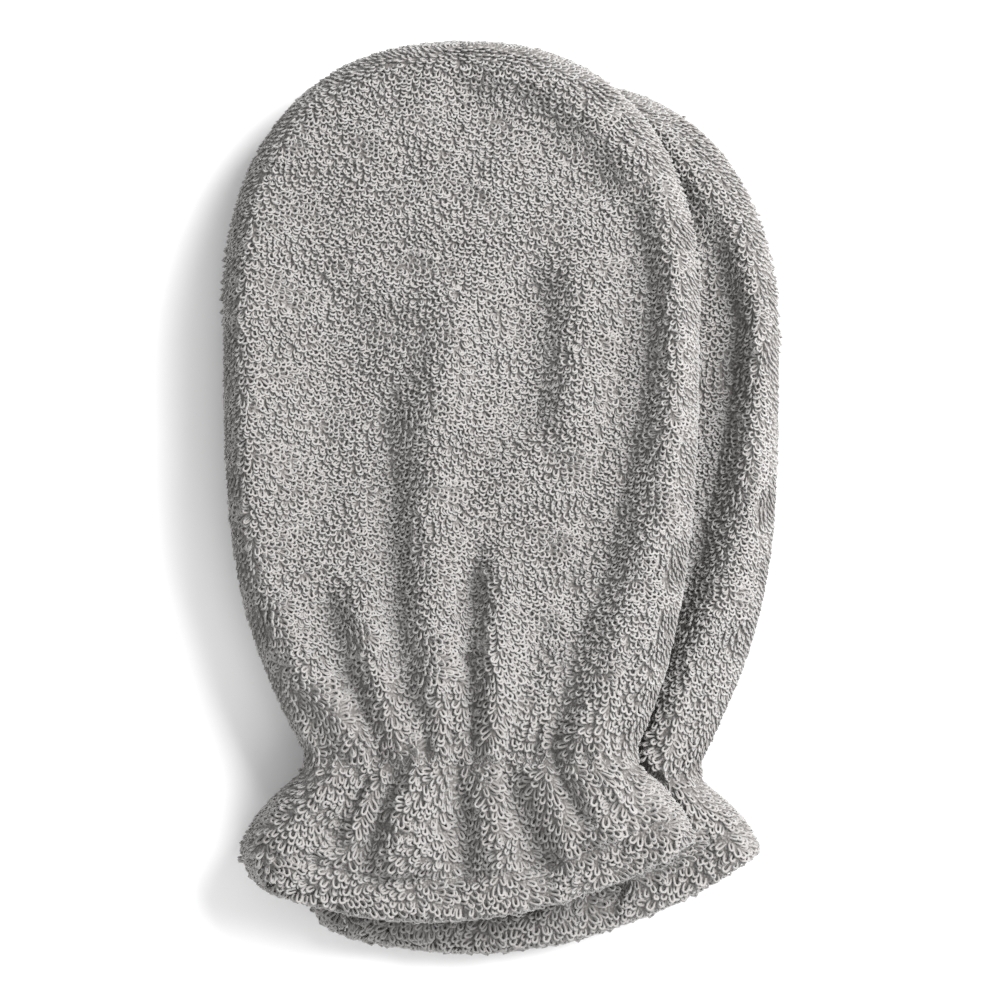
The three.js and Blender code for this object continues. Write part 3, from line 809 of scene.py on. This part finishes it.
def loop_mesh(name, foot, normal, lie, loose, height, seed, segments, sides, size, press):
    """Loops of yarn as one mesh. A loop's middle line runs over half a turn a: across the loop by
    cos a, along its lie by sin a, and up by a root of sin a. The yarn is a tube round that line,
    thinner at the feet. Every loop has its own square of the UV map and its own random tone, and
    painted shade that is darkest at its feet and lightest at its crest."""
    rng = np.random.default_rng(seed)
    count = len(foot)
    scale = size * rng.uniform(*SIZES, count)
    lift = LOOP_HEIGHT * rng.uniform(*LIFTS, count) * scale * press * height
    length = LOOP_LENGTH * rng.uniform(*LENGTHS, count) * scale * (1 + height) / 2
    length = length * (1 + LOOSE_LENGTH * loose)
    width = LOOP_WIDTH * rng.uniform(*WIDTHS, count) * scale
    shade = rng.normal(0, SHADE_STRAY, count)
    across = np.cross(normal, lie)
    a = np.linspace(0, math.pi, segments + 1)
    wide = 0.5 * np.sign(np.cos(a)) * np.abs(np.cos(a)) ** 0.75 * (0.6 + 0.6 * np.sin(a))
    middle = foot[:, None] + MM * (
        normal[:, None] * ((lift[:, None] * np.sin(a) ** 0.8)[..., None] - FOOT_DEPTH)
        + across[:, None] * (width[:, None] * wide)[..., None]
        + lie[:, None] * (length[:, None] * np.sin(a) ** 0.9)[..., None])
    tangent = unit(np.gradient(middle, axis=1))
    plane = unit(np.cross(across, normal * lift[:, None] + lie * length[:, None]))
    plane = np.repeat(plane[:, None], segments + 1, 1)
    beside = unit(np.cross(tangent, plane))
    turn = np.arange(sides) * 2 * math.pi / sides
    thick = YARN_RADIUS * MM * size * (1 + LOOSE_YARN * loose)[:, None] * (0.75 + 0.25 * np.sin(a))
    ring = (plane[:, :, None] * np.cos(turn)[None, None, :, None]
            + beside[:, :, None] * np.sin(turn)[None, None, :, None])
    points = middle[:, :, None] + ring * thick[:, :, None, None]
    points[..., 2] = np.maximum(points[..., 2], FLOOR_GAP * MM)
    index = np.arange(count * (segments + 1) * sides).reshape(count, segments + 1, sides)
    turned = np.roll(index, -1, axis=2)
    faces = np.stack([index[:, :-1], turned[:, :-1], turned[:, 1:], index[:, 1:]], -1)
    mesh = bpy.data.meshes.new(name)
    mesh.vertices.add(points.size // 3)
    mesh.vertices.foreach_set("co", points.reshape(-1).astype(np.float32))
    mesh.loops.add(faces.size)
    mesh.loops.foreach_set("vertex_index", faces.reshape(-1).astype(np.int32))
    mesh.polygons.add(faces.size // 4)
    mesh.polygons.foreach_set("loop_start", np.arange(0, faces.size, 4, dtype=np.int32))
    cells = math.ceil(math.sqrt(count))
    cell_x, cell_y = np.arange(count) % cells, np.arange(count) // cells
    k, j = np.meshgrid(np.arange(segments), np.arange(sides), indexing="ij")
    corner_k = np.stack([k, k, k + 1, k + 1], -1) / segments
    corner_j = np.stack([j, j + 1, j + 1, j], -1) / sides
    u = (cell_x[:, None, None, None] + UV_MARGIN + UV_SHARE * corner_k) / cells
    v = (cell_y[:, None, None, None] + UV_MARGIN + UV_SHARE * corner_j) / cells
    layer = mesh.uv_layers.new(name="OFBake")
    layer.data.foreach_set("uv", np.stack([u, v], -1).reshape(-1).astype(np.float32))
    # Painted shade: darkest at the loop's feet, lightest at its crest, plus the loop's random tone.
    rise = (FOOT_PAINTED_SHADE + CREST_PAINTED_LIGHT * np.sin(a))[None, :, None] + shade[:, None, None]
    shades = np.clip(rise + np.zeros((count, segments + 1, sides)), 0, 1)
    mesh.attributes.new("shade", "FLOAT", "POINT").data.foreach_set(
        "value", shades.reshape(-1).astype(np.float32))
    mesh.update()
    mesh.validate()
    return link_piece(name, mesh, YARN_MATERIAL)


def loop_painted_shade_and_tone(tree):
    """The value kept on each point: painted shade, darker at a loop's feet and lighter at its
    crest, and a random tone a little different for each loop.
    """
    shade = tree.nodes.new("ShaderNodeAttribute")
    shade.attribute_name = "shade"
    return shade.outputs["Fac"]


# The yarn runs from dark at the loops' feet to light at their crests: painted shade.
YARN_MATERIAL = fibre_material("cotton_yarn", dark=(0.22, 0.209, 0.201),
                               light=(0.335, 0.325, 0.318), sheen=0.3, dye_scale=45.0,
                               fuzz_scale=3800.0, pattern=loop_painted_shade_and_tone, bump_mm=0.15)
PALM_ZONES = {"cuff": (-99, 4), "heel": (4, 74), "middle": (74, 130), "fingertips": (130, 999)}
BACK_ZONES = {"cuff": (-99, 40), "body": (40, 999)}
PILE_SEEDS = {("lower", "palm"): 23, ("upper", "palm"): 11, ("lower", "back"): 41,
              ("upper", "back"): 42}


def ending(side):
    """What the name of a half ends in; a whole piece's name ends in nothing."""
    return "" if side == "whole" else f"_{side}"


def on_side(side, x):
    """Which plan points are on a side of the middle line; all are on a whole piece."""
    return {"left": x < 0, "right": x >= 0, "whole": np.ones(x.shape, bool)}[side]


def lay_pile(mitt, face_name, zone, places, x, chosen, seed, loops):
    """One zone's loops: two halves on a palm, and one piece on a back."""
    shape = {key: loops[key] for key in ("segments", "sides", "size", "press")}
    for side in SIDES if face_name == "palm" else ["whole"]:
        kept = chosen & on_side(side, x)
        piece = loop_mesh(f"{mitt}_{face_name}_pile_{zone}{ending(side)}",
                          *(part[kept] for part in places), seed, **shape)
        fasten(piece, mitt, side)
        pile[mitt, face_name, side].append(piece)


pile = {key: [] for key in cloth}
for (mitt, face_name), seed in PILE_SEEDS.items():
    face = FACES[face_name]
    loops, zones = (PALM_LOOPS, PALM_ZONES) if face > 0 else (BACK_LOOPS, BACK_ZONES)
    *places, x, y = pile_places(mitt, face, loops["spacing"], loops["rows"], seed)
    for zone, (low, high) in zones.items():
        lay_pile(mitt, face_name, zone, places, x, (y >= low) & (y < high), seed + 7, loops)
    *places, x = lining_places(mitt, face, seed + 3)
    lay_pile(mitt, face_name, "lining", places, x, on_side("whole", x), seed + 9, BACK_LOOPS)

# --- The wrist elastics --------------------------------------------------------------------------
# A woven elastic tape 6 mm wide, with five rubber cords in it, is sewn stretched to the inside of
# each panel along the wrist line. Relaxed, it draws the towelling into pleats.
TAPE_WIDTH = 6.0
TAPE_CORDS = 5
TAPE_REACH = HALF_WRIST - ALLOWANCE - 2.0
TAPE_NEAR, TAPE_FAR = 0.12, 0.85    # its two faces under the cloth's inner face, mm
TAPE_LEAST = 0.15     # the tape's least distance from the seam plane
CORD_HEIGHT = 0.15


def tape_weave(tree):
    """Fine ribs along the tape: a wave on Object coordinates across it, 0 to 0.6."""
    coords = tree.nodes.new("ShaderNodeTexCoord")
    wave = add_node(tree, "ShaderNodeTexWave", Scale=160.0, Distortion=0.4)
    wave.bands_direction = "X"
    tree.links.new(coords.outputs["Object"], wave.inputs["Vector"])
    return maths(tree, "MULTIPLY", wave.outputs["Fac"], 0.6)


TAPE_MATERIAL = fibre_material("elastic_tape", dark=(0.45, 0.44, 0.42), light=(0.80, 0.78, 0.75),
                               sheen=0.05, dye_scale=60.0, fuzz_scale=3000.0,
                               pattern=tape_weave, bump_mm=0.2)


def wrist_tape(name, mitt, face, x):
    """A tape that follows the cloth's inner face. Its free face rises over each rubber cord by a
    cosine across the tape."""
    y = np.linspace(-TAPE_WIDTH / 2, TAPE_WIDTH / 2, 4 * TAPE_CORDS + 1)
    x, y = np.meshgrid(x, y, indexing="ij")
    inner = inner_reach(x, y, ground_reach(mitt, face, x, y))
    cords = CORD_HEIGHT * np.cos(2 * math.pi * TAPE_CORDS * (y / TAPE_WIDTH + 0.5) + math.pi)
    seam = seam_height(mitt, x, y)
    near, far = (plan_to_pair(mitt, x, y, seam + face * np.maximum(inner - depth, TAPE_LEAST))
                 for depth in (TAPE_NEAR + 0 * cords, TAPE_FAR + cords))
    return closed_shell(name, near, far, TAPE_MATERIAL)


def across(side, reach, count):
    """Plan x from the middle line out to one side, or on a whole piece from side to side."""
    half = SIDES.get(side, 1) * np.linspace(0, reach, count)
    return np.concatenate([-half[:0:-1], half]) if side == "whole" else half


trims = {key: [] for key in cloth}
for mitt, face_name, side in cloth:
    name = f"{mitt}_{face_name}_elastic_tape{ending(side)}"
    piece = wrist_tape(name, mitt, FACES[face_name], across(side, TAPE_REACH, 90))
    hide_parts(f"{mitt}_{face_name}_wrist_elastic")
    fasten(piece, mitt, side)
    trims[mitt, face_name, side].append(piece)

# --- The stitching --------------------------------------------------------------------------------
# Spun thread, dyed to match, is nearly lost in the pile. A zigzag holds each elastic tape, a lock
# stitch with 3 mm stitches holds each hem, and an overlock wraps the allowances inside the mitt.
THREAD_RADIUS = 0.26
ZIGZAG_LEG, ZIGZAG_SWING, ZIGZAG_POINT = 1.75, 1.7, 0.97
ZIGZAG_OVER = 0.12    # over the ground, mm
STITCH, STITCH_DIP, STITCH_OVER = 3.0, 0.22, 0.02
STITCH_REACH = {"elastic_stitching": HALF_WRIST - ALLOWANCE, "hem_stitching": 52.9}
OVERLOCK_PITCH, OVERLOCK_INSET, OVERLOCK_END = 2.6, 9.7, 8
OVERLOCK_WIDE, OVERLOCK_HIGH = 0.6, 0.75
OVERLOCK_THREAD = 0.8 * THREAD_RADIUS


def thread_twist(tree):
    """The thread's twist: slanting bands on Object coordinates, 0 to 0.6."""
    coords = tree.nodes.new("ShaderNodeTexCoord")
    wave = add_node(tree, "ShaderNodeTexWave", Scale=700.0, Distortion=0.6)
    wave.bands_direction = "DIAGONAL"
    tree.links.new(coords.outputs["Object"], wave.inputs["Vector"])
    return maths(tree, "MULTIPLY", wave.outputs["Fac"], 0.6)


THREAD_MATERIAL = fibre_material("sewing_thread", dark=(0.16, 0.152, 0.148),
                                 light=(0.38, 0.372, 0.366), sheen=0.2, dye_scale=60.0,
                                 fuzz_scale=4200.0, pattern=thread_twist, bump_mm=0.08)


def thread_tube(name, path, radius, sides=5):
    """A closed tube round a path: at every point a ring square to the way the path runs."""
    tangent = unit(np.gradient(path, axis=0))
    beside = unit(np.cross(tangent, [0.0, 0.0, 1.0]) + [1e-9, 0, 0])
    over = np.cross(beside, tangent)
    turn = np.arange(sides) * 2 * math.pi / sides
    points = path[:, None] + radius * MM * (beside[:, None] * np.cos(turn)[:, None]
                                            + over[:, None] * np.sin(turn)[:, None])
    index = np.arange(len(path) * sides).reshape(-1, sides)
    turned = np.roll(index, -1, axis=1)
    quads = np.stack([index[:-1], turned[:-1], turned[1:], index[1:]], -1).reshape(-1, 4)
    caps = [index[0, ::-1].tolist(), index[-1].tolist()]
    mesh = mesh_outwards(name, points, quads.tolist() + caps, False)
    return link_piece(name, mesh, THREAD_MATERIAL)


def zigzag(mitt, face, x):
    """The elastic's thread: the arc sine of a sine swings it to and fro over the wrist line."""
    swing = np.arcsin(ZIGZAG_POINT * np.sin(math.pi * x / ZIGZAG_LEG))
    return ground_point(mitt, face, x, ZIGZAG_SWING * 2 / math.pi * swing, ZIGZAG_OVER)


def lock_stitch(mitt, face, x):
    """The hem's thread: it rises as the size of a sine between its holes, along the hem's top."""
    dip = STITCH_DIP * np.abs(np.sin(math.pi * x / STITCH))
    return ground_point(mitt, face, x, hem_line(x) + HEM, STITCH_OVER + dip)


for mitt, face_name, side in cloth:
    for seam, stitch in (("elastic_stitching", zigzag), ("hem_stitching", lock_stitch)):
        path = stitch(mitt, FACES[face_name], across(side, STITCH_REACH[seam], 150))
        thread = seam.replace("stitching", "thread")
        piece = thread_tube(f"{mitt}_{face_name}_{thread}{ending(side)}", path, THREAD_RADIUS)
        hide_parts(f"{mitt}_{face_name}_{seam}")
        fasten(piece, mitt, side)
        trims[mitt, face_name, side].append(piece)

for mitt in MITTS:
    place = np.arange(OVERLOCK_END, SEAM_RUN[-1] - OVERLOCK_END, OVERLOCK_PITCH / 8)
    turn = 2 * math.pi * place / OVERLOCK_PITCH
    x, y = inside_seam(place, OVERLOCK_INSET + OVERLOCK_WIDE * np.cos(turn))
    path = plan_to_pair(mitt, x, y, seam_height(mitt, x, y) + OVERLOCK_HIGH * np.sin(turn))
    piece = thread_tube(f"{mitt}_overlock_thread", path, OVERLOCK_THREAD, 4)
    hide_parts(f"{mitt}_side_seam_stitching")
    fasten(piece, mitt, "whole")
    trims[mitt, "back", "whole"].append(piece)
